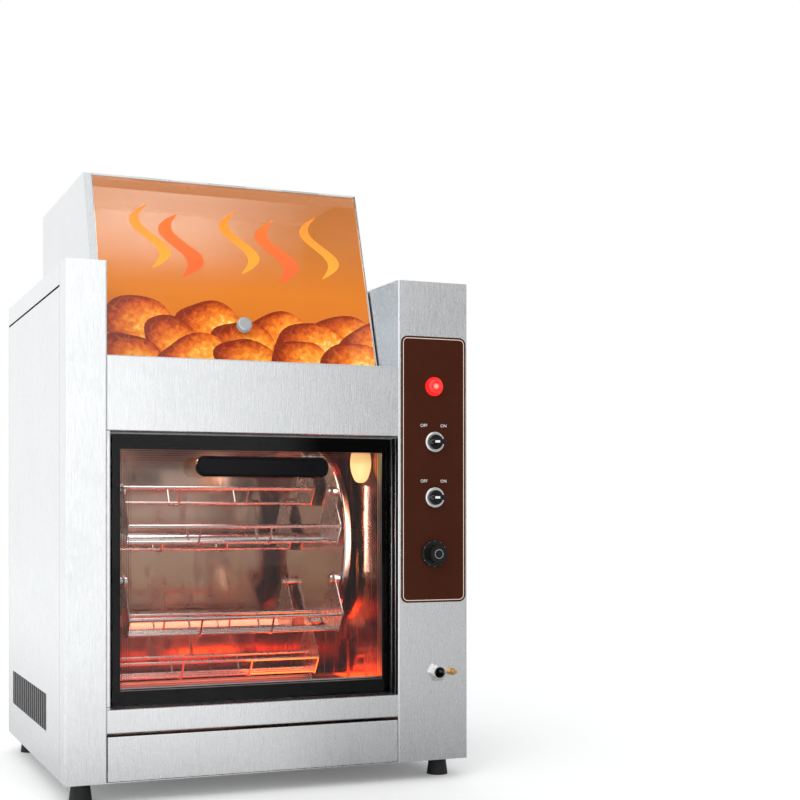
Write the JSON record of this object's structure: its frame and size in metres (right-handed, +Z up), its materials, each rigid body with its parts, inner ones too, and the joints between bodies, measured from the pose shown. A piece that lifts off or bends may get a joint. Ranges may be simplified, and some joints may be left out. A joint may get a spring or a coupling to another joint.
{
  "type": "baked potato oven",
  "caption": "Countertop rotary oven with hanging wire baskets behind a drop-down glass door, a heated display case above, a control column and a crumb tray.",
  "frame": {"origin": "on the floor under the middle of the whole oven, knobs and rear screws included", "axes": "+X to the right as the user faces the door, +Y to the back, +Z up"},
  "size_m": [0.58, 0.545, 0.871],
  "materials": {
    "casing": "satin",
    "liner": "polished",
    "wire": "polished",
    "door_glass": "polished",
    "display_glass": "polished",
    "quartz": "gloss",
    "bulb": "gloss",
    "porcelain": "gloss",
    "black_gloss": "gloss",
    "fascia": "gloss",
    "red_lens": "gloss",
    "rubber": "matte",
    "seal": "matte",
    "brass": "satin",
    "plated": "satin",
    "bronze": "satin",
    "motor_case": "satin",
    "wool": "matte"
  },
  "bodies": {
    "cabinet": {"base_pan": "casing", "rubber_feet": "rubber", "left_post": "casing", "left_side_panel": "casing", "left_deck": "casing", "crossbar": "casing", "bottom_rail": "casing", "column_shell": "casing", "column_deck": "casing", "right_side_panel": "casing", "rear_panel": "casing", "chamber_left_wall": "liner", "chamber_right_wall": "liner", "chamber_back_wall": "liner", "chamber_ceiling": "liner", "chamber_floor": "liner", "front_frame": "liner", "insulation": "wool", "display_floor": "casing", "display_left_wall": "casing", "display_right_wall": "casing", "display_back_wall": "casing", "display_roof": "casing", "tray_runners": "casing", "heating_tubes": "quartz", "tube_caps": "porcelain", "lamp_holder": "porcelain", "lamp_bulb": "bulb", "shaft_bearings": "bronze", "gear_motor": "motor_case", "control_fascia": "fascia", "indicator_lamp": "red_lens", "selector_switches": "black_gloss", "thermostat": "plated", "cable_gland": "plated", "ground_stud": "brass", "terminal_block": "porcelain", "casing_screws": "plated", "door_seal": "seal"},
    "rotor": {"rotor_shaft": "plated", "left_wheel": "liner", "right_wheel": "liner", "basket_pins": "plated", "drive_coupling": "plated"},
    "basket_1": {"basket_1": "wire"},
    "basket_2": {"basket_2": "wire"},
    "basket_3": {"basket_3": "wire"},
    "basket_4": {"basket_4": "wire"},
    "basket_5": {"basket_5": "wire"},
    "basket_6": {"basket_6": "wire"},
    "door": {"door_frame": "liner", "door_glass": "door_glass", "door_handle": "black_gloss"},
    "lid": {"lid_glass": "display_glass", "lid_hinge": "casing", "lid_knob": "plated"},
    "tray": {"crumb_tray": "casing"},
    "light_knob": {"light_switch_knob": "black_gloss"},
    "motor_knob": {"motor_switch_knob": "black_gloss"},
    "heat_knob": {"thermostat_knob": "black_gloss"}
  },
  "joints": [
    {"name": "rotor_spin", "type": "hinge", "parent": "cabinet", "child": "rotor", "pos_m": [-0.019, 0.0335, 0.344], "axis": [1, 0, 0], "continuous": true},
    {"name": "basket_1_swing", "type": "hinge", "parent": "rotor", "child": "basket_1", "pos_m": [-0.019, -0.07593, 0.41781], "axis": [1, 0, 0], "continuous": true},
    {"name": "basket_2_swing", "type": "hinge", "parent": "rotor", "child": "basket_2", "pos_m": [-0.019, -0.08514, 0.28613], "axis": [1, 0, 0], "continuous": true},
    {"name": "basket_3_swing", "type": "hinge", "parent": "rotor", "child": "basket_3", "pos_m": [-0.019, 0.02429, 0.21232], "axis": [1, 0, 0], "continuous": true},
    {"name": "basket_4_swing", "type": "hinge", "parent": "rotor", "child": "basket_4", "pos_m": [-0.019, 0.14293, 0.27019], "axis": [1, 0, 0], "continuous": true},
    {"name": "basket_5_swing", "type": "hinge", "parent": "rotor", "child": "basket_5", "pos_m": [-0.019, 0.15214, 0.40187], "axis": [1, 0, 0], "continuous": true},
    {"name": "basket_6_swing", "type": "hinge", "parent": "rotor", "child": "basket_6", "pos_m": [-0.019, 0.04271, 0.47568], "axis": [1, 0, 0], "continuous": true},
    {"name": "door_hinge", "type": "hinge", "parent": "cabinet", "child": "door", "pos_m": [-0.02175, -0.2155, 0.133], "axis": [1, 0, 0], "range_deg": [0, 90]},
    {"name": "lid_hinge_turn", "type": "hinge", "parent": "cabinet", "child": "lid", "pos_m": [-0.0231, -0.07965, 0.8685], "axis": [-1, 0, 0], "range_deg": [0, 80]},
    {"name": "tray_slide", "type": "slide", "parent": "cabinet", "child": "tray", "axis": [0, -1, 0], "range_m": [0, 0.33]},
    {"name": "light_switch_turn", "type": "hinge", "parent": "cabinet", "child": "light_knob", "pos_m": [0.23625, -0.2505, 0.487], "axis": [0, 1, 0], "range_deg": [0, 90]},
    {"name": "motor_switch_turn", "type": "hinge", "parent": "cabinet", "child": "motor_knob", "pos_m": [0.23625, -0.2505, 0.407], "axis": [0, 1, 0], "range_deg": [0, 90]},
    {"name": "thermostat_turn", "type": "hinge", "parent": "cabinet", "child": "heat_knob", "pos_m": [0.23625, -0.2505, 0.326], "axis": [0, 1, 0], "range_deg": [0, 300]}
  ],
  "couplings": [
    {"joint": "basket_1_swing", "follows": "rotor_spin", "ratio": -1},
    {"joint": "basket_2_swing", "follows": "rotor_spin", "ratio": -1},
    {"joint": "basket_3_swing", "follows": "rotor_spin", "ratio": -1},
    {"joint": "basket_4_swing", "follows": "rotor_spin", "ratio": -1},
    {"joint": "basket_5_swing", "follows": "rotor_spin", "ratio": -1},
    {"joint": "basket_6_swing", "follows": "rotor_spin", "ratio": -1}
  ]
}
